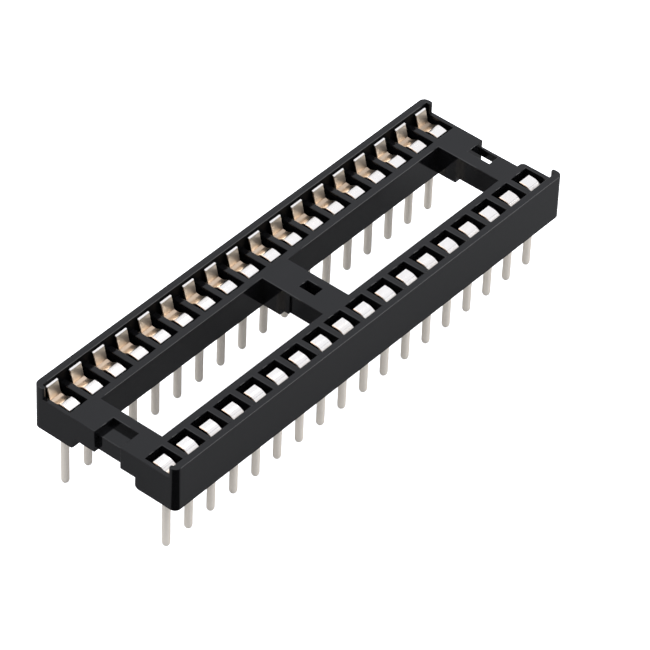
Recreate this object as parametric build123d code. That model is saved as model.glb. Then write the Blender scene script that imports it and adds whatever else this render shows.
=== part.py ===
from build123d import *
import os

# Two-row socket for a dual in-line chip: one moulded housing and 36 stamped contacts.
# Millimetres. X runs along the rows, Y across them, +Z up. The origin is on the board
# surface, in the middle of the tail grid. The polarity notch is at the -X end.

os.makedirs("parts", exist_ok=True)

# Contact grid
PITCH = 2.54
CONTACTS_PER_ROW = 18
ROW_SPACING = 10.16

# Housing rails, deck and rim
RAIL_WIDTH = 4.04
DECK_HEIGHT = 3.15
RIM_RISE = 1.05
RIM_THICKNESS = 0.60
RETURN_LENGTH = 1.00
RETURN_END_RADIUS = 0.15
OUTER_CORNER_RADIUS = 0.55
RAIL_FOOT_CHAMFER = 0.22

# Cross bars
BAR_WIDTH = 3.00
BAR_UNDERSIDE = 1.05
BAR_RELIEF_DEPTH = 0.20
BAR_RELIEF_LIP = 0.20
BAR_RELIEF_SIDE = 0.30
BOSS_LENGTH = 0.65
BOSS_WIDTH = 1.90
BOSS_DROP = 0.60

# Contact cells
CELL_LENGTH = 1.82
INNER_WALL = 0.64
FLOOR_THICKNESS = 0.60
RIB_FOOT = 0.70
RIB_TIP = 0.08
RIB_BELOW_RIM = 0.10

# Polarity recess at the near end, sunk in the deck and set back from the end face
RECESS_LENGTH = 2.09
RECESS_DEPTH = 0.60
RECESS_INNER_SIDE = -1.60
RECESS_OUTER_SIDE = 0.95
RECESS_SETBACK = 0.45

# Step, ledge and keeper slot at the far end, with a low strip across the slot's mouth
STEP_LENGTH = 0.63
STEP_DROP = 0.65
KEEPER_STRIP = 0.26
KEEPER_STRIP_HEIGHT = 0.75
KEEPER_SLOT_LENGTH = 1.65
KEEPER_SLOT_WIDTH = 2.20
KEEPER_SIDE = 0.95
FAR_CORNER_RADIUS = 0.40

# Index pocket in the middle bar
POCKET_LENGTH = 1.02
POCKET_WIDTH = 1.53
POCKET_DEPTH = 1.50
POCKET_X = 0.18
POCKET_Y = -0.43

# Stamped contact
SHEET = 0.16
LEAF_WIDTH = 1.22
BASE_WIDTH = 0.94
NECK_GAP = 0.06
NECK_OFFSET = 0.12
NECK_BELOW_DECK = 0.85
LEAF_BELOW_RIM = 0.34
LEAF_WALL_GAP = 0.05
LEAF_LEAN = 0.32
LEAF_FOOT_BELOW_DECK = 0.55
VALLEY_BELOW_DECK = 0.61
VALLEY_REACH = 0.34
VALLEY_FLAT = 0.21
OUTER_LIP_BELOW_DECK = 0.47
INNER_LIP_BELOW_DECK = 0.41
CREST_BELOW_DECK = 0.22
DOME_WALL_GAP = 0.38

# Dome chords, each a share of the inner leaf's reach and a drop below the crest
DOME_CHORDS = ((0.12, 0.02), (0.30, 0.00), (0.52, 0.01), (0.76, 0.07), (1.00, 0.16))

# Solder tail
TAIL_DIAMETER = 0.66
TAIL_LENGTH = 5.50
TAIL_TIP_LENGTH = 0.30
TAIL_TIP_TAPER = 32
FLATS_PER_TIP = 8
TAIL_HOLE_CLEARANCE = 0.04

# Sizes that follow from the ones above
LENGTH = CONTACTS_PER_ROW * PITCH
WIDTH = ROW_SPACING + RAIL_WIDTH
RIM_TOP = DECK_HEIGHT + RIM_RISE
END_WALL = (PITCH - CELL_LENGTH) / 2
WINDOW_WIDTH = ROW_SPACING - RAIL_WIDTH
ROW_X = [(i - (CONTACTS_PER_ROW - 1) / 2) * PITCH for i in range(CONTACTS_PER_ROW)]
OUTER_FACE = WIDTH / 2
RIM_INNER_FACE = OUTER_FACE - RIM_THICKNESS
CELL_INNER_FACE = WINDOW_WIDTH / 2 + INNER_WALL
NEAR_END = -LENGTH / 2
FAR_END = LENGTH / 2


def block(x0, x1, y0, y1, z0, z1):
    """A box between two opposite corners."""
    middle = Pos((x0 + x1) / 2, (y0 + y1) / 2, (z0 + z1) / 2)
    return middle * Box(abs(x1 - x0), abs(y1 - y0), abs(z1 - z0))


def along_row(outline, x0, x1):
    """A closed (y, z) outline drawn out along X."""
    face = make_face(Polyline([(x0, y, z) for y, z in outline], close=True))
    return extrude(face, amount=x1 - x0, dir=(1, 0, 0))


def upright_edges(shape, x, y):
    """The Z edges of a shape that stand at one place in plan."""
    return shape.edges().filter_by(Axis.Z).filter_by(
        lambda e: abs(e.center().X - x) < 1e-3 and abs(e.center().Y - y) < 1e-3)


# Housing

def rail():
    """The +Y rail: a bar with a bevelled inner foot, the rim along it and its two returns."""
    inner = WINDOW_WIDTH / 2
    body = block(NEAR_END, FAR_END, inner, OUTER_FACE, 0, DECK_HEIGHT)
    foot = body.edges().filter_by(Axis.X).group_by(Axis.Z)[0].sort_by(Axis.Y)[0]
    body = chamfer(foot, RAIL_FOOT_CHAMFER)
    body += block(NEAR_END, FAR_END, RIM_INNER_FACE, OUTER_FACE, DECK_HEIGHT, RIM_TOP)
    for end in (-1, 1):
        tip_y = OUTER_FACE - RETURN_LENGTH
        wall = block(end * (FAR_END - END_WALL), end * FAR_END, tip_y, OUTER_FACE, DECK_HEIGHT, RIM_TOP)
        tip = upright_edges(wall, end * (FAR_END - END_WALL), tip_y) + upright_edges(wall, end * FAR_END, tip_y)
        body += fillet(tip, RETURN_END_RADIUS)
    return body


def cross_bars():
    """Three bars between the rails, with a boss in the corner under the middle and far ones."""
    reach = WINDOW_WIDTH / 2 + INNER_WALL / 2
    lefts = [NEAR_END, -BAR_WIDTH / 2, FAR_END - BAR_WIDTH]
    bars = [block(x, x + BAR_WIDTH, -reach, reach, BAR_UNDERSIDE, DECK_HEIGHT) for x in lefts]
    bosses = [block(x, x + BOSS_LENGTH, WINDOW_WIDTH / 2 - BOSS_WIDTH, reach,
                    BAR_UNDERSIDE - BOSS_DROP, DECK_HEIGHT) for x in lefts[1:]]
    return bars + bosses


def cell_cuts():
    """For the +Y rail, the pocket of every contact and the square tail hole in its floor."""
    side = TAIL_DIAMETER + 2 * TAIL_HOLE_CLEARANCE
    hole = Box(side, side, FLOOR_THICKNESS, align=(Align.CENTER, Align.CENTER, Align.MIN))
    cuts = []
    for x in ROW_X:
        cuts.append(block(x - CELL_LENGTH / 2, x + CELL_LENGTH / 2,
                          CELL_INNER_FACE, RIM_INNER_FACE, FLOOR_THICKNESS, DECK_HEIGHT))
        cuts.append(Pos(x, ROW_SPACING / 2, 0) * hole)
    return cuts


def guide_ribs():
    """For the +Y rail, the sloped ribs on the rim that steer each lead into its cell."""
    outline = [(RIM_INNER_FACE, DECK_HEIGHT), (RIM_INNER_FACE - RIB_FOOT, DECK_HEIGHT),
               (RIM_INNER_FACE - RIB_TIP, RIM_TOP - RIB_BELOW_RIM), (RIM_INNER_FACE, RIM_TOP - RIB_BELOW_RIM)]
    return [along_row(outline, x + CELL_LENGTH / 2, x + PITCH - CELL_LENGTH / 2) for x in ROW_X[:-1]]


def near_end_cuts():
    """The polarity recess in the deck and the set-back face under its mouth."""
    inner = NEAR_END + RECESS_LENGTH
    floor = DECK_HEIGHT - RECESS_DEPTH
    return [
        block(NEAR_END, inner, RECESS_INNER_SIDE, RECESS_OUTER_SIDE, floor, DECK_HEIGHT),
        block(NEAR_END, NEAR_END + RECESS_SETBACK, RECESS_INNER_SIDE, RECESS_OUTER_SIDE, 0, DECK_HEIGHT),
    ]


def far_end_cuts():
    """The step down to the ledge, and the keeper slot with its strip at ledge level."""
    ledge = DECK_HEIGHT - STEP_DROP
    strip = FAR_END - KEEPER_STRIP
    side = KEEPER_SIDE - KEEPER_SLOT_WIDTH
    return [
        block(FAR_END - STEP_LENGTH, FAR_END, -WINDOW_WIDTH / 2, KEEPER_SIDE, ledge, DECK_HEIGHT),
        block(strip - KEEPER_SLOT_LENGTH, strip, side, KEEPER_SIDE, 0, DECK_HEIGHT),
        block(strip, FAR_END, side, KEEPER_SIDE, 0, ledge - KEEPER_STRIP_HEIGHT),
    ]


def middle_bar_cuts():
    """The blind index pocket in the deck and the relief under its near edge."""
    left = -BAR_WIDTH / 2
    return [
        block(POCKET_X - POCKET_LENGTH / 2, POCKET_X + POCKET_LENGTH / 2,
              POCKET_Y - POCKET_WIDTH / 2, POCKET_Y + POCKET_WIDTH / 2,
              DECK_HEIGHT - POCKET_DEPTH, DECK_HEIGHT),
        block(left, left + BAR_RELIEF_DEPTH, -WINDOW_WIDTH / 2, BAR_RELIEF_SIDE,
              BAR_UNDERSIDE, DECK_HEIGHT - BAR_RELIEF_LIP),
    ]


def housing():
    """The whole moulding."""
    back = rail()
    body = back + mirror(back, about=Plane.XZ) + cross_bars()
    corners = ShapeList()
    for x in (NEAR_END, FAR_END):
        for y in (-OUTER_FACE, OUTER_FACE):
            corners += upright_edges(body, x, y)
    body = fillet(corners, OUTER_CORNER_RADIUS)
    ribs = guide_ribs()
    body += ribs + [mirror(rib, about=Plane.XZ) for rib in ribs]
    cells = cell_cuts()
    body -= cells + [mirror(cell, about=Plane.XZ) for cell in cells]
    body -= near_end_cuts() + middle_bar_cuts() + far_end_cuts()
    return fillet(upright_edges(body, FAR_END, -WINDOW_WIDTH / 2), FAR_CORNER_RADIUS)


# Contacts

def leaf_path():
    """The bent sheet's middle line, in (u, z): u is measured from the row line to the rim."""
    base_z = FLOOR_THICKNESS + SHEET / 2
    outer_neck_u = NECK_OFFSET + (NECK_GAP + SHEET) / 2
    inner_neck_u = NECK_OFFSET - (NECK_GAP + SHEET) / 2
    neck_z = DECK_HEIGHT - NECK_BELOW_DECK
    tip_u = RAIL_WIDTH / 2 - RIM_THICKNESS - LEAF_WALL_GAP - SHEET / 2
    valley_u = outer_neck_u + VALLEY_REACH
    crest_z = DECK_HEIGHT - CREST_BELOW_DECK - SHEET / 2
    dome_reach = RAIL_WIDTH / 2 - INNER_WALL - DOME_WALL_GAP
    outer = [
        (tip_u, RIM_TOP - LEAF_BELOW_RIM),
        (tip_u - LEAF_LEAN, DECK_HEIGHT - LEAF_FOOT_BELOW_DECK),
        (valley_u, DECK_HEIGHT - VALLEY_BELOW_DECK),
        (valley_u - VALLEY_FLAT, DECK_HEIGHT - VALLEY_BELOW_DECK + SHEET / 5),
        (outer_neck_u, DECK_HEIGHT - OUTER_LIP_BELOW_DECK),
        (outer_neck_u, neck_z),
        (BASE_WIDTH / 2, base_z + SHEET * 2),
        (BASE_WIDTH / 2, base_z),
    ]
    inner = [
        (-BASE_WIDTH / 2, base_z),
        (-BASE_WIDTH / 2, base_z + SHEET * 2),
        (inner_neck_u, neck_z),
        (inner_neck_u, DECK_HEIGHT - INNER_LIP_BELOW_DECK),
    ]
    dome = [(-dome_reach * share, crest_z - drop) for share, drop in DOME_CHORDS]
    return outer + inner + dome


def tail():
    """The solder tail: a square neck in the floor, a round pin under it and a swaged tip."""
    radius = TAIL_DIAMETER / 2
    top = FLOOR_THICKNESS + SHEET / 2
    shank = TAIL_LENGTH - TAIL_TIP_LENGTH
    below = (Align.CENTER, Align.CENTER, Align.MAX)
    neck = Pos(0, 0, top) * Box(TAIL_DIAMETER, TAIL_DIAMETER, top, align=below)
    pin = Cylinder(radius, shank, align=below)
    flats = Pos(0, 0, -shank) * RegularPolygon(radius, FLATS_PER_TIP)
    tip = extrude(flats, amount=TAIL_TIP_LENGTH, dir=(0, 0, -1), taper=TAIL_TIP_TAPER)
    return neck + pin + tip


def contact():
    """One contact on the row line at x = 0, y = 0, with its outer leaf towards +Y."""
    ribbon = trace(Polyline(leaf_path()), line_width=SHEET)
    side = Plane((-LEAF_WIDTH / 2, 0, 0), x_dir=(0, 1, 0), z_dir=(1, 0, 0))
    sheet = side * extrude(ribbon, amount=LEAF_WIDTH)
    return sheet + tail()


def write(shape, name):
    """Label a piece and write it as one STEP file."""
    shape.label = name
    export_step(shape, f"parts/{name}.step")


write(housing(), "housing")
back_contact = contact()
front_contact = mirror(back_contact, about=Plane.XZ)
for number, x in enumerate(ROW_X, start=1):
    write(Pos(x, ROW_SPACING / 2, 0) * back_contact, f"contact_back_{number:02d}")
    write(Pos(x, -ROW_SPACING / 2, 0) * front_contact, f"contact_front_{number:02d}")
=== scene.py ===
import logging
import math
from dataclasses import dataclass, field
from enum import Enum
from typing import Any, Optional, Union

import bmesh
import bpy
from mathutils import Matrix, Vector


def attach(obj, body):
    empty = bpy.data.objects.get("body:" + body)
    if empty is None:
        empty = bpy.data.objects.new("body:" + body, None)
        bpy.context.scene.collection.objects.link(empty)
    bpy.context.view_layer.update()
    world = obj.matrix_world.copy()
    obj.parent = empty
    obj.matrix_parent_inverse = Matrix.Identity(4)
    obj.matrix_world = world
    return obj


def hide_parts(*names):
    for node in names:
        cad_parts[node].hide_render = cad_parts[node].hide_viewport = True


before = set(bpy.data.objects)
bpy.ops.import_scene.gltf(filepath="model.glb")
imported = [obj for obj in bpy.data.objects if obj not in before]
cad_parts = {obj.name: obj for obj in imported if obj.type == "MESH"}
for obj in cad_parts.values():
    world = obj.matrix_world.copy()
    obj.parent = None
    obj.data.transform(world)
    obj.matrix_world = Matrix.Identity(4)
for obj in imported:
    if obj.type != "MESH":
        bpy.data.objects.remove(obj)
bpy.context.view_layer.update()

LOG = logging.getLogger("socket")
MM = 0.001
BODY = "root"

# Attributes of the contacts' meshes.
BEND = "bend"
SHEARED = "sheared"
TONE = "tone"

Colour = tuple[float, float, float, float]
Triple = tuple[float, float, float]
Range = tuple[float, float]
Value = Union[float, int, tuple, str, "Expr", bpy.types.Material]


class Expr:
    """A socket of a node tree that can be used in plain arithmetic."""

    def __init__(self, graph: "Graph", socket: bpy.types.NodeSocket) -> None:
        """Wraps one socket.

        Args:
            graph: The graph that holds the socket's node.
            socket: The output socket itself.
        """
        self.graph = graph
        self.socket = socket

    def _math(self, operation: str, first: Value, second: Value = 0.0) -> "Expr":
        """One Math node on two values."""
        inputs = {0: first, 1: second}
        return self.graph.node("ShaderNodeMath", {"operation": operation}, inputs)

    def __add__(self, other: Value) -> "Expr":
        """self + other."""
        return self._math("ADD", self, other)

    def __radd__(self, other: Value) -> "Expr":
        """other + self."""
        return self._math("ADD", other, self)

    def __sub__(self, other: Value) -> "Expr":
        """self - other."""
        return self._math("SUBTRACT", self, other)

    def __rsub__(self, other: Value) -> "Expr":
        """other - self."""
        return self._math("SUBTRACT", other, self)

    def __mul__(self, other: Value) -> "Expr":
        """self * other."""
        return self._math("MULTIPLY", self, other)

    def __rmul__(self, other: Value) -> "Expr":
        """other * self."""
        return self._math("MULTIPLY", other, self)

    def __truediv__(self, other: Value) -> "Expr":
        """self / other."""
        return self._math("DIVIDE", self, other)

    def __rtruediv__(self, other: Value) -> "Expr":
        """other / self."""
        return self._math("DIVIDE", other, self)

    def __pow__(self, other: Value) -> "Expr":
        """self to the power of other."""
        return self._math("POWER", self, other)

    def __rpow__(self, other: Value) -> "Expr":
        """other to the power of self."""
        return self._math("POWER", other, self)

    def __neg__(self) -> "Expr":
        """0 - self."""
        return self._math("SUBTRACT", 0.0, self)

    def __abs__(self) -> "Expr":
        """The size of self without its sign."""
        return self._math("ABSOLUTE", self)

    def least(self, other: Value) -> "Expr":
        """The smaller of self and other."""
        return self._math("MINIMUM", self, other)

    def most(self, other: Value) -> "Expr":
        """The larger of self and other."""
        return self._math("MAXIMUM", self, other)

    def above(self, other: Value) -> "Expr":
        """1 where self is greater than other, else 0."""
        return self._math("GREATER_THAN", self, other)

    def held(self) -> "Expr":
        """Self, held between 0 and 1."""
        return self.least(1.0).most(0.0)

    def swing(self, width: float) -> "Expr":
        """Noise about 0.5, turned into a change of up to half of width either way."""
        return (self - 0.5) * width

    def ramp(self, low: float, high: float) -> "Expr":
        """A smooth step.

        Args:
            low: The value that gives 0.
            high: The value that gives 1.

        Returns:
            0 at low, 1 at high, and an eased curve between them.
        """
        settings = {"interpolation_type": "SMOOTHSTEP", "clamp": True}
        inputs = {0: self, 1: low, 2: high, 3: 0.0, 4: 1.0}
        return self.graph.node("ShaderNodeMapRange", settings, inputs)


class Graph:
    """Builds one node tree."""

    def __init__(self, tree: bpy.types.NodeTree) -> None:
        """Takes the tree to build in."""
        self.tree = tree

    def wire(self, value: Value, socket: bpy.types.NodeSocket) -> None:
        """Gives an input socket its link or its plain value.

        Args:
            value: An expression to link, or a plain value.
            socket: The input socket.
        """
        if isinstance(value, Expr):
            self.tree.links.new(value.socket, socket)
        else:
            socket.default_value = value

    def node(
        self,
        kind: str,
        settings: Optional[dict[str, Any]] = None,
        inputs: Optional[dict[Union[int, str], Value]] = None,
        output: Union[int, str] = 0,
    ) -> Expr:
        """Adds one node, sets it up and wires it.

        Args:
            kind: The node's type.
            settings: The node's own properties, set before its sockets.
            inputs: Socket name or number to a value or a link.
            output: The output socket to hand back.

        Returns:
            The chosen output, or the input of a node that has no outputs.
        """
        made = self.tree.nodes.new(kind)
        for name, value in (settings or {}).items():
            setattr(made, name, value)
        for name, value in (inputs or {}).items():
            self.wire(value, made.inputs[name])
        sockets = made.outputs if len(made.outputs) else made.inputs
        return Expr(self, sockets[output])

    def again(self, expr: Expr, output: Union[int, str]) -> Expr:
        """Another output of the node that an expression comes from."""
        return Expr(self, expr.socket.node.outputs[output])


@dataclass(frozen=True)
class Grain:
    """Noise on a surface. The stretch squeezes it along an axis, so that it runs one way."""

    per_mm: float
    detail: float = 2.0
    harshness: float = 0.5
    stretch: Triple = (1.0, 1.0, 1.0)


class ShaderGraph(Graph):
    """The node tree of one material."""

    def __init__(self, name: str) -> None:
        """Makes the material with an empty tree.

        Args:
            name: The material's name.
        """
        self.material = bpy.data.materials.new(name)
        self.material.use_nodes = True
        self.material.node_tree.nodes.clear()
        super().__init__(self.material.node_tree)

    def point(self, stretch: Triple = (1.0, 1.0, 1.0)) -> Expr:
        """The point on the piece, in millimetres.

        Args:
            stretch: A factor along each axis.

        Returns:
            The point as a vector.
        """
        place = self.node("ShaderNodeTexCoord", output="Object")
        scale = tuple(factor / MM for factor in stretch)
        inputs = {0: place, 1: scale}
        return self.node("ShaderNodeVectorMath", {"operation": "MULTIPLY"}, inputs)

    def axes(self) -> tuple[Expr, Expr, Expr]:
        """The point's X, Y and Z on the piece, in millimetres."""
        along = self.node("ShaderNodeSeparateXYZ", inputs={0: self.point()}, output="X")
        return along, self.again(along, "Y"), self.again(along, "Z")

    def noise(self, grain: Grain) -> Expr:
        """Plain noise.

        Args:
            grain: Its size, roughness and direction.

        Returns:
            A value about 0.5.
        """
        inputs = {
            "Vector": self.point(grain.stretch),
            "Scale": grain.per_mm,
            "Detail": grain.detail,
            "Roughness": grain.harshness,
        }
        return self.node("ShaderNodeTexNoise", inputs=inputs)

    def blend(self, share: Value, first: Value, second: Value) -> Expr:
        """A colour between two colours.

        Args:
            share: 0 for the first colour, 1 for the second.
            first: A colour or a colour socket.
            second: A colour or a colour socket.

        Returns:
            The mixed colour.
        """
        inputs = {0: share, 6: first, 7: second}
        return self.node("ShaderNodeMix", {"data_type": "RGBA"}, inputs, 2)

    def bump(self, height: Expr, depth_mm: float, strength: float) -> Expr:
        """A Bump node's normal for a height that varies from 0 to 1."""
        inputs = {"Height": height, "Distance": depth_mm * MM, "Strength": strength}
        return self.node("ShaderNodeBump", inputs=inputs)

    def surface(self, **sockets: Value) -> Expr:
        """A Principled shader.

        Args:
            sockets: Principled socket names, with underscores for spaces.

        Returns:
            The shader's output.
        """
        wired = {name.replace("_", " "): value for name, value in sockets.items()}
        return self.node("ShaderNodeBsdfPrincipled", inputs=wired)

    def finish(self, shader: Expr) -> bpy.types.Material:
        """Closes the tree with its surface shader and hands back the material."""
        self.node("ShaderNodeOutputMaterial", inputs={"Surface": shader})
        return self.material


class FormGraph(Graph):
    """A Geometry Nodes tree with named inputs, which turns a carrier into a plain mesh."""

    def __init__(self, name: str, inputs: dict[str, tuple[str, Any]]) -> None:
        """Makes the tree with its inputs and its output.

        Args:
            name: The tree's name.
            inputs: Each input's name, with its kind of socket and its value.
        """
        super().__init__(bpy.data.node_groups.new(name, "GeometryNodeTree"))
        self.tree.is_modifier = True
        self.values: dict[str, Any] = {}
        interface = self.tree.interface
        interface.new_socket("Geometry", in_out="INPUT", socket_type="NodeSocketGeometry")
        for title, (kind, value) in inputs.items():
            made = interface.new_socket(title, in_out="INPUT", socket_type=kind)
            self.values[made.identifier] = value
        interface.new_socket("Geometry", in_out="OUTPUT", socket_type="NodeSocketGeometry")
        self.group = self.node("NodeGroupInput")

    def given(self, name: str) -> Expr:
        """One of the tree's inputs."""
        return self.again(self.group, name)

    def stored(self, name: str, kind: str) -> Expr:
        """A named attribute of the geometry."""
        return self.node("GeometryNodeInputNamedAttribute", {"data_type": kind}, {"Name": name})

    def store(self, geometry: Expr, name: str, value: Expr, kind: str, domain: str) -> Expr:
        """Keeps a value on the geometry as a named attribute.

        Args:
            geometry: The geometry that gets it.
            name: The attribute's name.
            value: The value.
            kind: The attribute's data type.
            domain: What carries it, such as FACE.

        Returns:
            The geometry with the attribute.
        """
        settings = {"data_type": kind, "domain": domain}
        inputs = {"Geometry": geometry, "Name": name, "Value": value}
        return self.node("GeometryNodeStoreNamedAttribute", settings, inputs)

    def run(self, carrier: bpy.types.Object) -> bpy.types.Mesh:
        """Runs the tree on a carrier and removes the carrier with its modifier.

        Args:
            carrier: The object whose mesh the tree starts from.

        Returns:
            The result as a plain mesh.
        """
        modifier = carrier.modifiers.new("form", "NODES")
        modifier.node_group = self.tree
        for identifier, value in self.values.items():
            modifier[identifier] = value
        depsgraph = bpy.context.evaluated_depsgraph_get()
        result = carrier.evaluated_get(depsgraph)
        mesh = bpy.data.meshes.new_from_object(result, depsgraph=depsgraph)
        bpy.data.objects.remove(carrier)
        return mesh


@dataclass(frozen=True)
class HousingPlastic:
    """Black moulded plastic with a low gloss and a fine grain. The rim's inner wall gets a rougher,
    barely mirroring copy of the plastic without grain, as painted shade.
    """

    dark: Colour = (0.0020, 0.0020, 0.0022, 1.0)
    light: Colour = (0.0042, 0.0042, 0.0048, 1.0)
    roughness: float = 0.085
    ior: float = 1.38
    shaded_wall_roughness: float = 0.4
    shaded_wall_ior: float = 1.08

    # The moulded grain, a finer sparkle on it and the flow marks along the rails.
    grain: Grain = Grain(7.0, 3.0, 0.65)
    sparkle: Grain = Grain(18.2, 1.0)
    flow: Grain = Grain(0.35, 3.0, stretch=(1.0, 2.4, 2.4))
    grain_in_tone: float = 0.65
    flow_in_tone: float = 0.75
    tone_drop: float = 0.2
    grain_swing: float = 0.06
    flow_swing: float = 0.04
    grain_in_bump: float = 0.7
    sparkle_in_bump: float = 0.3
    bump_depth_mm: float = 0.002
    bump_strength: float = 0.4

    # Where the rim's inner wall is.
    wall_face_mm: float = 6.50
    wall_within_mm: float = 0.03
    wall_heights_mm: Range = (0.10, 4.15)
    wall_end_mm: float = 22.55

    def inner_wall(self, graph: ShaderGraph) -> Expr:
        """Finds the rim's wall that the outer leaves stand against.

        Args:
            graph: The material's graph.

        Returns:
            1 on the wall, else 0.
        """
        along, across, height = graph.axes()
        low, high = self.wall_heights_mm
        on_face = (self.wall_within_mm - abs(abs(across) - self.wall_face_mm)).above(0.0)
        in_length = (self.wall_end_mm - abs(along)).above(0.0)
        return on_face * in_length * height.above(low) * (high - height).above(0.0)

    def make(self) -> bpy.types.Material:
        """Builds the material.

        Returns:
            The housing's material.
        """
        graph = ShaderGraph("housing_plastic")
        grain, sparkle, flow = (graph.noise(g) for g in (self.grain, self.sparkle, self.flow))
        tone = grain * self.grain_in_tone + flow * self.flow_in_tone - self.tone_drop
        height = grain * self.grain_in_bump + sparkle * self.sparkle_in_bump
        glossy = graph.surface(
            Base_Color=graph.blend(tone.held(), self.dark, self.light),
            Roughness=self.roughness + grain.swing(self.grain_swing) + flow.swing(self.flow_swing),
            Normal=graph.bump(height, self.bump_depth_mm, self.bump_strength),
            IOR=self.ior,
        )
        # Painted shade: the rim's inner wall takes the darkest colour and a low IOR, so it mirrors
        # little and reads dark.
        shaded_wall = graph.surface(Base_Color=self.dark, Roughness=self.shaded_wall_roughness, IOR=self.shaded_wall_ior)
        inputs = {0: self.inner_wall(graph), 1: glossy, 2: shaded_wall}
        return graph.finish(graph.node("ShaderNodeMixShader", inputs=inputs))


@dataclass(frozen=True)
class TinPlate:
    """Tin plate on copper alloy: bright inner leaves and duller tails. The outer leaves and the
    valley get a warmer, darker colour as painted shade, which starts further out on the front row.
    """

    bright: Colour = (0.92, 0.89, 0.85, 1.0)
    # Painted shade: the outer leaves' warmer colour, and the darker one in the valley.
    outer_shade: Colour = (0.66, 0.56, 0.45, 1.0)
    valley: Colour = (0.47, 0.37, 0.28, 1.0)
    tail: Colour = (0.94, 0.87, 0.77, 1.0)
    bright_roughness: float = 0.16
    warm_roughness: float = 0.36
    tail_roughness: float = 0.36
    tail_metal: float = 0.22

    # Rolling marks on the leaves, drawing marks on the tails, and clouds in the colour.
    rolled: Grain = Grain(1.1, 3.0, 0.6, stretch=(6.0, 0.8, 0.8))
    drawn: Grain = Grain(1.6, 3.0, 0.6, stretch=(4.0, 4.0, 0.35))
    cloud: Grain = Grain(0.9)
    cloud_in_warmth: float = 0.3
    tone_in_warmth: float = 0.15
    warmth_drop: float = 0.2
    streak_swing: float = 0.12
    tone_swing: float = 0.05
    bump_depth_mm: float = 0.0015
    bump_strength: float = 0.2

    # Where the bright tin gives way to the painted shade of the outer leaves and the valley, and to
    # the tails, outwards from the row's centre line and in height. The front row's painted shade
    # starts further out.
    row_mm: float = 5.08
    warm_from_mm: float = -0.35
    warm_to_mm: float = 0.30
    front_warm_from_mm: float = 0.45
    leaf_tip_mm: float = 3.78
    valley_top_mm: float = 2.72
    valley_fade_mm: float = 0.10
    tail_top_mm: float = 0.3
    tail_fade_mm: float = 0.5

    def make(self) -> bpy.types.Material:
        """Builds the material.

        Returns:
            The material of the leaves and the tails.
        """
        graph = ShaderGraph("tin_plate")
        _, across, height = graph.axes()
        on_tail = (self.tail_top_mm - height).ramp(0.0, self.tail_fade_mm)
        outward = abs(across) - self.row_mm - (-across).above(0.0) * self.front_warm_from_mm
        below_tip = (self.leaf_tip_mm - height).above(0.0)
        outer = outward.ramp(self.warm_from_mm, self.warm_to_mm) * below_tip
        rolled, drawn, cloud = (graph.noise(g) for g in (self.rolled, self.drawn, self.cloud))
        tone = graph.node("ShaderNodeAttribute", {"attribute_name": TONE}, output="Fac")
        # Painted shade: the outer leaves turn warmer and darker, with random clouds and tone on
        # top.
        shade_and_tone = outer + cloud * self.cloud_in_warmth + tone * self.tone_in_warmth
        # Painted shade: the valley below the leaf's foot turns darker still.
        valley_shade_mask = (self.valley_top_mm - height).ramp(-self.valley_fade_mm, self.valley_fade_mm)
        shade_colour = graph.blend(valley_shade_mask, self.outer_shade, self.valley)
        leaf = graph.blend((shade_and_tone - self.warmth_drop).held(), self.bright, shade_colour)
        streak = rolled * (1.0 - on_tail) + drawn * on_tail
        satin = self.bright_roughness + outer * (self.warm_roughness - self.bright_roughness)
        satin = satin * (1.0 - on_tail) + on_tail * self.tail_roughness
        plated = graph.surface(
            Base_Color=graph.blend(on_tail, leaf, self.tail),
            Metallic=1.0 - on_tail * (1.0 - self.tail_metal),
            Roughness=satin + streak.swing(self.streak_swing) + tone.swing(self.tone_swing),
            Normal=graph.bump(streak, self.bump_depth_mm, self.bump_strength),
        )
        return graph.finish(plated)


@dataclass(frozen=True)
class ShearedCopper:
    """The bare copper alloy on the sheared edges of the stamping, with a little tin on it."""

    bare: Colour = (0.62, 0.40, 0.26, 1.0)
    tinned: Colour = (0.72, 0.60, 0.49, 1.0)
    shear: Grain = Grain(2.2, 3.0, 0.6, stretch=(1.0, 5.0, 1.0))
    tinned_from: float = 0.35
    tinned_to: float = 0.7
    roughness: float = 0.30
    shear_swing: float = 0.2
    bump_depth_mm: float = 0.005
    bump_strength: float = 0.4

    def make(self) -> bpy.types.Material:
        """Builds the material.

        Returns:
            The material of the sheared edges.
        """
        graph = ShaderGraph("sheared_copper")
        shear = graph.noise(self.shear)
        tinned = shear.ramp(self.tinned_from, self.tinned_to)
        sheared = graph.surface(
            Base_Color=graph.blend(tinned, self.bare, self.tinned),
            Metallic=1.0,
            Roughness=self.roughness + shear.swing(self.shear_swing),
            Normal=graph.bump(shear, self.bump_depth_mm, self.bump_strength),
        )
        return graph.finish(sheared)


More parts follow.
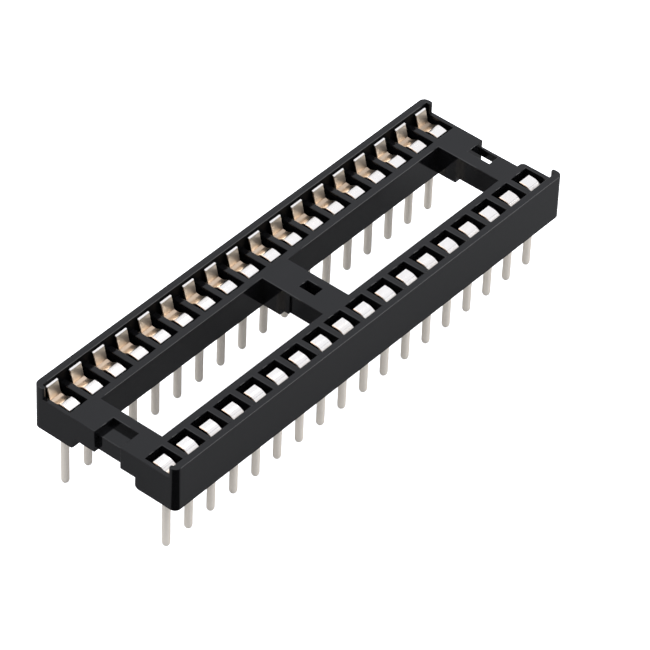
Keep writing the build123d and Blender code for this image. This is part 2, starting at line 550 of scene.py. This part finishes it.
@dataclass(frozen=True)
class Paper:
    """The plain white floor. What the socket mirrors of it is dimmer than what the camera sees.

    A dark patch that only mirrored light sees lies before the near corner, as a painted dark
    reflection on the socket's near corner.
    """

    seen: Colour = (0.90, 0.90, 0.90, 1.0)
    mirrored: Colour = (0.28, 0.28, 0.28, 1.0)
    dark_reflection: Colour = (0.004, 0.004, 0.004, 1.0)
    unlit: Colour = (0.0, 0.0, 0.0, 1.0)
    lit: Colour = (1.0, 1.0, 1.0, 1.0)
    dark_reflection_inner_mm: Range = (-19.5, -4.5)
    dark_reflection_outer_mm: Range = (-25.5, -9.5)
    roughness: float = 0.9
    glow: float = 0.75

    def make(self) -> bpy.types.Material:
        """Builds the material.

        Returns:
            The floor's material.
        """
        graph = ShaderGraph("paper")
        camera = graph.node("ShaderNodeLightPath", output="Is Camera Ray")
        along, across, _ = graph.axes()
        inner_x, inner_y = self.dark_reflection_inner_mm
        outer_x, outer_y = self.dark_reflection_outer_mm
        # Painted dark reflection: the patch before the near corner, seen only in mirrored light.
        corner = (inner_x - along).above(0.0) * (inner_y - across).above(0.0)
        beyond = (outer_x - along).above(0.0).most((outer_y - across).above(0.0))
        mirrored = graph.blend(corner * beyond, self.mirrored, self.dark_reflection)
        white = graph.surface(
            Base_Color=graph.blend(camera, mirrored, self.seen),
            Roughness=self.roughness,
            Emission_Color=graph.blend(camera, self.unlit, self.lit),
            Emission_Strength=self.glow,
        )
        return graph.finish(white)


class Row(Enum):
    """The two rows of contacts, with the side of the socket each stands on."""

    FRONT = -1
    BACK = 1

    @property
    def title(self) -> str:
        """The row's name in node and piece names."""
        return self.name.lower()

    @property
    def turn(self) -> float:
        """How far the stamping is turned, so that its outer leaf faces the rim."""
        return math.pi if self is Row.FRONT else 0.0


@dataclass
class Housing:
    """The moulded housing, with the small radius that a mould leaves on every edge.

    Sizes are in metres, as in the node that it stands for.
    """

    node: str = "housing"
    pitch: float = 2.54 * MM
    cells: int = 18
    deck_height: float = 3.15 * MM
    rim_face: float = 6.50 * MM
    match_within: float = 0.01 * MM
    plastic: HousingPlastic = field(default_factory=HousingPlastic)

    # What the node has, and what is shown in its place.
    rib_reach: float = 0.70 * MM
    rib_top: float = 4.10 * MM
    return_end: float = -22.4 * MM
    return_tip: float = -6.09 * MM
    return_root: float = -6.26 * MM
    return_cut: float = 0.24 * MM
    cell_wall: float = 0.72 * MM
    seen_wall: float = 0.56 * MM
    cell_reach: Range = (3.65 * MM, 6.55 * MM)

    # How the triangles become flat faces.
    cut_offset: float = -0.15 * MM
    pocket_middle: float = 0.18 * MM
    cut_within: float = 0.0001 * MM
    weld: float = 0.0005 * MM
    flat_within: float = math.radians(0.5)

    # How the edges are rounded.
    edge_radius: float = 0.045 * MM
    edge_profile: float = 0.5
    edge_segments: int = 2
    sharp_from: float = math.radians(35)
    facet_ratio: float = 3.0

    def cuts(self) -> list[float]:
        """The places along X where a cut crosses every cell, window and pocket."""
        first = self.cut_offset - (self.cells - 1) / 2 * self.pitch
        return [first + i * self.pitch for i in range(self.cells)] + [self.pocket_middle]

    def plain_rim(self, shape: bmesh.types.BMesh) -> None:
        """Leaves the rim's inner wall plain, as the photograph shows it.

        The node has sloped ribs between the leaves, and a longer return at the near front corner.

        Args:
            shape: A copy of the node's mesh, changed in place.
        """
        for vertex in shape.verts:
            x, y, z = vertex.co
            on_return = x < self.return_end and self.return_root < y < self.return_tip
            if on_return and z > self.deck_height - self.match_within:
                vertex.co.y -= self.return_cut
            reach = self.rim_face - abs(vertex.co.y)
            at_foot = abs(z - self.deck_height) < self.match_within
            foot = at_foot and abs(reach - self.rib_reach) < self.match_within
            tip = abs(z - self.rib_top) < self.match_within and 0 < reach < self.rib_reach
            if foot or tip:
                vertex.co.y = math.copysign(self.rim_face, vertex.co.y)
        bmesh.ops.remove_doubles(shape, verts=shape.verts, dist=self.weld)
        bmesh.ops.dissolve_degenerate(shape, edges=shape.edges, dist=self.weld)

    def thin_walls(self, shape: bmesh.types.BMesh) -> None:
        """Gives the walls between the cells the thickness that the photograph shows.

        Args:
            shape: A copy of the node's mesh, changed in place.
        """
        last = (self.cells / 2 - 0.5) * self.pitch
        inner, outer = self.cell_reach
        for vertex in shape.verts:
            middle = round(vertex.co.x / self.pitch) * self.pitch
            side = vertex.co.x - middle
            on_wall = abs(abs(side) - self.cell_wall / 2) < self.match_within and abs(middle) < last
            if on_wall and inner < abs(vertex.co.y) < outer:
                vertex.co.x = middle + math.copysign(self.seen_wall / 2, side)

    def clean(self, shape: bmesh.types.BMesh) -> None:
        """Turns the triangles of the node's mesh into flat faces without holes in them.

        Args:
            shape: A copy of the node's mesh, changed in place.
        """
        for edge in shape.edges:
            edge.seam = False
        for x in self.cuts():
            made = bmesh.ops.bisect_plane(
                shape,
                geom=shape.verts[:] + shape.edges[:] + shape.faces[:],
                dist=self.cut_within,
                plane_co=(x, 0, 0),
                plane_no=(1, 0, 0),
            )
            for part in made["geom_cut"]:
                if isinstance(part, bmesh.types.BMEdge):
                    part.seam = True
        bmesh.ops.dissolve_limit(
            shape,
            angle_limit=self.flat_within,
            verts=shape.verts,
            edges=shape.edges,
            use_dissolve_boundaries=False,
            delimit={"SEAM"},
        )
        bmesh.ops.recalc_face_normals(shape, faces=shape.faces)

    def soften(self, shape: bmesh.types.BMesh) -> None:
        """Rounds the edges that stand out, and keeps the flat faces flat to the light.

        Args:
            shape: The cleaned shape, changed in place.
        """
        outward = [edge for edge in shape.edges if edge.is_convex]
        made = bmesh.ops.bevel(
            shape,
            geom=[edge for edge in outward if edge.calc_face_angle() > self.sharp_from],
            offset=self.edge_radius,
            offset_type="OFFSET",
            segments=self.edge_segments,
            profile=self.edge_profile,
            affect="EDGES",
            clamp_overlap=False,
            material=-1,
        )
        strips = set(made["faces"])
        for face in shape.faces:
            face.smooth = True
        for edge in shape.edges:
            on_strip = [face in strips for face in edge.link_faces]
            small, large = sorted(face.calc_area() for face in edge.link_faces)
            alike = edge.calc_face_angle() < self.sharp_from and large < small * self.facet_ratio
            edge.smooth = all(on_strip) or (alike and not any(on_strip))

    def build(self) -> bpy.types.Object:
        """Makes the visible housing from the shape of its node.

        Returns:
            The piece, dressed and riding on the socket's body.
        """
        shape = bmesh.new()
        shape.from_mesh(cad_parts[self.node].data)
        self.plain_rim(shape)
        self.thin_walls(shape)
        self.clean(shape)
        self.soften(shape)
        mesh = bpy.data.meshes.new("housing_moulding")
        shape.to_mesh(mesh)
        shape.free()
        mesh.materials.clear()
        mesh.materials.append(self.plastic.make())
        piece = bpy.data.objects.new("housing_moulding", mesh)
        bpy.context.scene.collection.objects.link(piece)
        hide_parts(self.node)
        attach(piece, BODY)
        return piece


@dataclass
class ContactRow:
    """One row of stamped contacts, set out along the socket by Geometry Nodes.

    Sizes are in millimetres. The path and the crown after it are the sheet's middle line, as
    distance from the row's centre line towards the rim, height, and bend radius. The crown is the
    end of the inner leaf, which the chip's lead slides over.
    """

    row: Row
    tin: bpy.types.Material
    copper: bpy.types.Material
    count: int = 18
    pitch: float = 2.54
    row_spacing: float = 10.16
    lean_degrees: float = 0.25
    seed: int = 7

    # The sheet, the rounding of its edges and bends, and what counts as sheared or creased.
    sheet: float = 0.16
    leaf_width: float = 1.22
    edge_round: float = 0.028
    edge_segments: int = 1
    bend_segments: int = 6
    end_within: float = 0.002
    facing_from: float = 0.5
    crease_degrees: float = 32.0

    # The ball end's length is in tail radii, and its flat is a share of the tail's section.
    tail_radius: float = 0.33
    tail_top: float = 0.70
    tail_tip: float = -5.49
    tail_rings: int = 96
    tail_sides: int = 28
    ball_length: float = 1.15
    ball_flat: float = 0.02

    # From the tip of the outer leaf, through the valley, the neck and the base, to the inner leaf.
    path: tuple[Triple, ...] = (
        (1.268, 3.840, 0.0),
        (1.284, 3.802, 0.0),
        (1.272, 3.750, 0.0),
        (0.970, 2.600, 0.08),
        (0.590, 2.540, 0.25),
        (0.340, 2.570, 0.20),
        (0.240, 2.629, 0.0),
        (0.162, 2.721, 0.0),
        (0.202, 2.600, 0.0),
        (0.202, 2.300, 0.12),
        (0.470, 1.000, 0.12),
        (0.470, 0.680, 0.12),
        (-0.470, 0.680, 0.12),
        (-0.470, 1.000, 0.12),
        (0.038, 2.300, 0.12),
        (0.047, 2.754, 0.0),
    )
    crown: tuple[Triple, ...] = (
        (-0.110, 2.835, 0.22),
        (-0.290, 2.850, 0.60),
        (-0.510, 2.838, 0.60),
        (-0.790, 2.778, 0.60),
        (-0.960, 2.731, 0.0),
        (-1.000, 2.720, 0.0),
    )

    def inputs(self) -> dict[str, tuple[str, Any]]:
        """Lists what the row's tree is given.

        Returns:
            Each input's name, with its kind of socket and its value.
        """
        counts = {
            "Count": self.count,
            "Edge Segments": self.edge_segments,
            "Bend Segments": self.bend_segments,
            "Tail Rings": self.tail_rings,
            "Tail Sides": self.tail_sides,
            "Seed": self.seed + self.row.value,
        }
        lengths = {
            "Pitch": self.pitch,
            "Row Offset": self.row.value * self.row_spacing / 2,
            "Sheet": self.sheet,
            "Leaf Width": self.leaf_width,
            "Edge Round": self.edge_round,
            "Tail Radius": self.tail_radius,
            "Tail Top": self.tail_top,
            "Tail Tip": self.tail_tip,
        }
        floats = {name: length * MM for name, length in lengths.items()}
        floats["Turn"] = self.row.turn
        floats["Lean"] = math.radians(self.lean_degrees)
        floats["Crease"] = math.radians(self.crease_degrees)
        materials = {"Tin": self.tin, "Copper": self.copper}
        kinds = {"Int": counts, "Float": floats, "Material": materials}
        return {
            name: (f"NodeSocket{kind}", value)
            for kind, values in kinds.items()
            for name, value in values.items()
        }

    def spine(self) -> bpy.types.Object:
        """Lays the sheet's middle line, with each bend's radius as an attribute.

        Returns:
            A mesh line, the carrier that the row's tree runs on.
        """
        mesh = bpy.data.meshes.new(f"spine_{self.row.title}")
        bends = self.path + self.crown
        points = [(0.0, u * MM, z * MM) for u, z, _ in bends]
        mesh.from_pydata(points, [(i, i + 1) for i in range(len(points) - 1)], [])
        bend = mesh.attributes.new(BEND, "FLOAT", "POINT")
        bend.data.foreach_set("value", [radius * MM for _, _, radius in bends])
        spine = bpy.data.objects.new(f"spine_{self.row.title}", mesh)
        bpy.context.scene.collection.objects.link(spine)
        return spine

    def form(self) -> FormGraph:
        """Builds the tree that bends one contact along its spine and sets out the row.

        Returns:
            The tree, ready to run on the spine.
        """
        graph = FormGraph(f"contact_row_{self.row.title}", self.inputs())
        contact = graph.node("GeometryNodeJoinGeometry")
        for piece in (self._leaves(graph), self._tail(graph)):
            graph.wire(piece, contact.socket.node.inputs[0])
        dressed = self._dress(graph, self._set_out(graph, contact))
        graph.node("NodeGroupOutput", inputs={"Geometry": dressed})
        return graph

    def _leaves(self, graph: FormGraph) -> Expr:
        """Bends the sheet, and marks the faces where it was sheared.

        Args:
            graph: The row's tree.

        Returns:
            The bent sheet.
        """
        bend = {
            "Curve": graph.node("GeometryNodeMeshToCurve", inputs={0: graph.given("Geometry")}),
            "Radius": graph.stored(BEND, "FLOAT"),
            "Count": graph.given("Bend Segments"),
            "Limit Radius": True,
        }
        curve = graph.node("GeometryNodeFilletCurve", {"mode": "POLY"}, bend)
        along = graph.node("GeometryNodeSplineParameter", output="Length")
        whole = graph.node("GeometryNodeSplineLength", output="Length")
        caught = graph.node("GeometryNodeCaptureAttribute", inputs={"Geometry": curve})
        caught.socket.node.capture_items.new("FLOAT", "tip")
        graph.wire(along.least(whole - along), caught.socket.node.inputs[1])
        outline = {
            "Curve": graph.node(
                "GeometryNodeCurvePrimitiveQuadrilateral",
                inputs={"Width": graph.given("Leaf Width"), "Height": graph.given("Sheet")},
            ),
            "Radius": graph.given("Edge Round"),
            "Count": graph.given("Edge Segments"),
        }
        sweep = {
            "Curve": caught,
            "Profile Curve": graph.node("GeometryNodeFilletCurve", {"mode": "POLY"}, outline),
            "Fill Caps": True,
        }
        sheet = graph.node("GeometryNodeCurveToMesh", inputs=sweep)
        normal = graph.node("GeometryNodeInputNormal")
        sideways = graph.node("ShaderNodeSeparateXYZ", inputs={0: normal}, output="X")
        not_up = (self.facing_from - graph.again(sideways, "Z")).above(0.0)
        ends = (1.0 - graph.again(caught, 1).above(self.end_within * MM)) * not_up
        sheared = abs(sideways).above(self.facing_from).most(ends)
        return graph.store(sheet, SHEARED, sheared, "BOOLEAN", "FACE")

    def _tail(self, graph: FormGraph) -> Expr:
        """Draws the round tail with its ball end.

        Args:
            graph: The row's tree.

        Returns:
            The tail.
        """
        radius, tip = graph.given("Tail Radius"), graph.given("Tail Tip")
        start = graph.node("ShaderNodeCombineXYZ", inputs={"Z": graph.given("Tail Top")})
        end = graph.node("ShaderNodeCombineXYZ", inputs={"Z": tip})
        line = graph.node("GeometryNodeCurvePrimitiveLine", inputs={"Start": start, "End": end})
        rings = {"Curve": line, "Count": graph.given("Tail Rings")}
        line = graph.node("GeometryNodeResampleCurve", inputs=rings)
        place = graph.node("GeometryNodeInputPosition")
        height = graph.node("ShaderNodeSeparateXYZ", inputs={0: place}, output="Z")
        into = 1.0 - ((height - tip) / (radius * self.ball_length)).least(1.0)
        share = (1.0 - into * into).most(self.ball_flat) ** 0.5
        line = graph.node("GeometryNodeSetCurveRadius", inputs={"Curve": line, "Radius": share})
        sides = {"Resolution": graph.given("Tail Sides"), "Radius": radius}
        ring = graph.node("GeometryNodeCurvePrimitiveCircle", inputs=sides)
        sweep = {"Curve": line, "Profile Curve": ring, "Scale": share, "Fill Caps": True}
        return graph.node("GeometryNodeCurveToMesh", inputs=sweep)

    def _set_out(self, graph: FormGraph, contact: Expr) -> Expr:
        """Copies one contact along the row, each with a slight lean and tone of its own.

        Args:
            graph: The row's tree.
            contact: One contact, standing at the origin.

        Returns:
            The row as one mesh.
        """
        count, pitch, lean = (graph.given(name) for name in ("Count", "Pitch", "Lean"))
        first = {"X": (count - 1.0) * pitch * -0.5, "Y": graph.given("Row Offset")}
        grid = {
            "Count": count,
            "Start Location": graph.node("ShaderNodeCombineXYZ", inputs=first),
            "Offset": graph.node("ShaderNodeCombineXYZ", inputs={"X": pitch}),
        }
        points = graph.node("GeometryNodeMeshLine", inputs=grid)
        turned = graph.given("Turn")
        low, high = (
            graph.node("ShaderNodeCombineXYZ", inputs={"X": tilt, "Y": tilt, "Z": turned})
            for tilt in (-lean, lean)
        )
        drawn = {0: low, 1: high, "Seed": graph.given("Seed")}
        turn = graph.node("FunctionNodeRandomValue", {"data_type": "FLOAT_VECTOR"}, drawn)
        copies = {"Points": points, "Instance": contact, "Rotation": turn}
        placed = graph.node("GeometryNodeInstanceOnPoints", inputs=copies)
        drawn = {2: 0.0, 3: 1.0, "Seed": graph.given("Seed")}
        tone = graph.node("FunctionNodeRandomValue", {"data_type": "FLOAT"}, drawn, 1)
        placed = graph.store(placed, TONE, tone, "FLOAT", "INSTANCE")
        return graph.node("GeometryNodeRealizeInstances", inputs={"Geometry": placed})

    def _dress(self, graph: FormGraph, placed: Expr) -> Expr:
        """Creases the bends, tins the whole row and leaves copper on what was sheared.

        Args:
            graph: The row's tree.
            placed: The row as one mesh.

        Returns:
            The row with its materials.
        """
        crease = graph.node("GeometryNodeInputMeshEdgeAngle").above(graph.given("Crease"))
        creased = {"Geometry": placed, "Selection": crease, "Shade Smooth": False}
        placed = graph.node("GeometryNodeSetShadeSmooth", {"domain": "EDGE"}, creased)
        tinned = {"Geometry": placed, "Material": graph.given("Tin")}
        placed = graph.node("GeometryNodeSetMaterial", inputs=tinned)
        bare = {
            "Geometry": placed,
            "Selection": graph.stored(SHEARED, "BOOLEAN"),
            "Material": graph.given("Copper"),
        }
        return graph.node("GeometryNodeSetMaterial", inputs=bare)

    def build(self) -> bpy.types.Object:
        """Makes the row as one plain mesh.

        Returns:
            The piece, dressed and riding on the socket's body.
        """
        mesh = self.form().run(self.spine())
        mesh.name = f"contacts_{self.row.title}"
        piece = bpy.data.objects.new(f"contacts_{self.row.title}", mesh)
        bpy.context.scene.collection.objects.link(piece)
        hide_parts(*[f"contact_{self.row.title}_{i:02d}" for i in range(1, self.count + 1)])
        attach(piece, BODY)
        return piece


# The front row's crown, which ends sooner and stands flatter.
FLATTER_CROWN: tuple[Triple, ...] = (
    (-0.110, 2.810, 0.22),
    (-0.330, 2.842, 0.60),
    (-0.760, 2.862, 0.00),
    (-0.800, 2.862, 0.00),
)


@dataclass(frozen=True)
class SoftLight:
    """A square soft light that faces the socket. Its place and side are in metres."""

    name: str
    place: Triple
    side: float
    watts: float
    tint: Triple = (1.0, 1.0, 1.0)

    def build(self) -> None:
        """Hangs the light."""
        light = bpy.data.lights.new(self.name, "AREA")
        light.shape = "SQUARE"
        light.size = self.side
        light.energy = self.watts
        light.color = self.tint
        lamp = bpy.data.objects.new(self.name, light)
        lamp.location = self.place
        lamp.rotation_euler = (-Vector(self.place)).to_track_quat("-Z", "Y").to_euler()
        bpy.context.scene.collection.objects.link(lamp)


@dataclass
class Studio:
    """A white floor, soft lights and the camera. Sizes are in metres, angles in degrees."""

    floor_height: float = -5.52 * MM
    floor_size: float = 3.0
    surround: Colour = (0.96, 0.98, 1.04, 1.0)
    surround_strength: float = 1.0
    lights: tuple[SoftLight, ...] = (
        SoftLight("softbox", (0.05, 0.10, 0.55), 0.45, 1.3, (0.97, 0.98, 1.0)),
        SoftLight("fill", (0.38, -0.43, 0.30), 0.30, 1.6),
        SoftLight("rim", (-0.42, 0.31, 0.37), 0.30, 0.7),
    )
    azimuth: float = -51.39
    elevation: float = 41.73
    roll: float = 2.47
    lens_mm: float = 259.7
    sensor_mm: float = 36.0
    distance: float = 359.3 * MM
    aim: Triple = (0.0, 0.0, 2.0 * MM)
    shift: Range = (1.55 * MM, -2.12 * MM)
    clip: Range = (0.01, 10.0)

    def build(self) -> None:
        """Makes the floor, the lights and the camera."""
        self._floor()
        self._surround()
        for light in self.lights:
            light.build()
        self._camera()

    def _floor(self) -> None:
        """Lays a plain white floor under the tails."""
        mesh = bpy.data.meshes.new("floor")
        half = self.floor_size / 2
        corners = [(-half, -half), (half, -half), (half, half), (-half, half)]
        mesh.from_pydata([(x, y, self.floor_height) for x, y in corners], [], [(0, 1, 2, 3)])
        mesh.materials.append(Paper().make())
        floor = bpy.data.objects.new("floor", mesh)
        bpy.context.scene.collection.objects.link(floor)

    def _surround(self) -> None:
        """Sets an even white surround."""
        world = bpy.data.worlds.new("surround")
        world.use_nodes = True
        sky = world.node_tree.nodes["Background"]
        sky.inputs["Color"].default_value = self.surround
        sky.inputs["Strength"].default_value = self.surround_strength
        bpy.context.scene.world = world

    def _camera(self) -> None:
        """Stands the camera at the photograph's angle."""
        a, e, r = (math.radians(v) for v in (self.azimuth, self.elevation, self.roll))
        back = Vector((math.sin(a) * math.cos(e), -math.cos(a) * math.cos(e), math.sin(e)))
        level = Vector((0, 0, 1)).cross(back).normalized()
        rise = back.cross(level)
        right = level * math.cos(r) + rise * math.sin(r)
        up = level * -math.sin(r) + rise * math.cos(r)
        aside, above = self.shift
        place = Vector(self.aim) + right * aside + up * above + back * self.distance
        lens = bpy.data.cameras.new("camera")
        lens.lens = self.lens_mm
        lens.sensor_width = self.sensor_mm
        lens.sensor_fit = "HORIZONTAL"
        lens.clip_start, lens.clip_end = self.clip
        camera = bpy.data.objects.new("camera", lens)
        turn = Matrix((right, up, back)).transposed().to_4x4()
        camera.matrix_world = Matrix.Translation(place) @ turn
        bpy.context.scene.collection.objects.link(camera)
        bpy.context.scene.camera = camera


def report(piece: bpy.types.Object) -> None:
    """Logs one piece's size in faces."""
    LOG.info("%s: %d faces", piece.name, len(piece.data.polygons))


def main() -> None:
    """Builds the socket and its studio."""
    logging.basicConfig(level=logging.INFO, format="%(name)s: %(message)s")
    bpy.context.scene.view_settings.view_transform = "Standard"
    report(Housing().build())
    tin, copper = TinPlate().make(), ShearedCopper().make()
    report(ContactRow(Row.FRONT, tin, copper, crown=FLATTER_CROWN).build())
    report(ContactRow(Row.BACK, tin, copper).build())
    Studio().build()


if __name__ == "__main__":
    main()
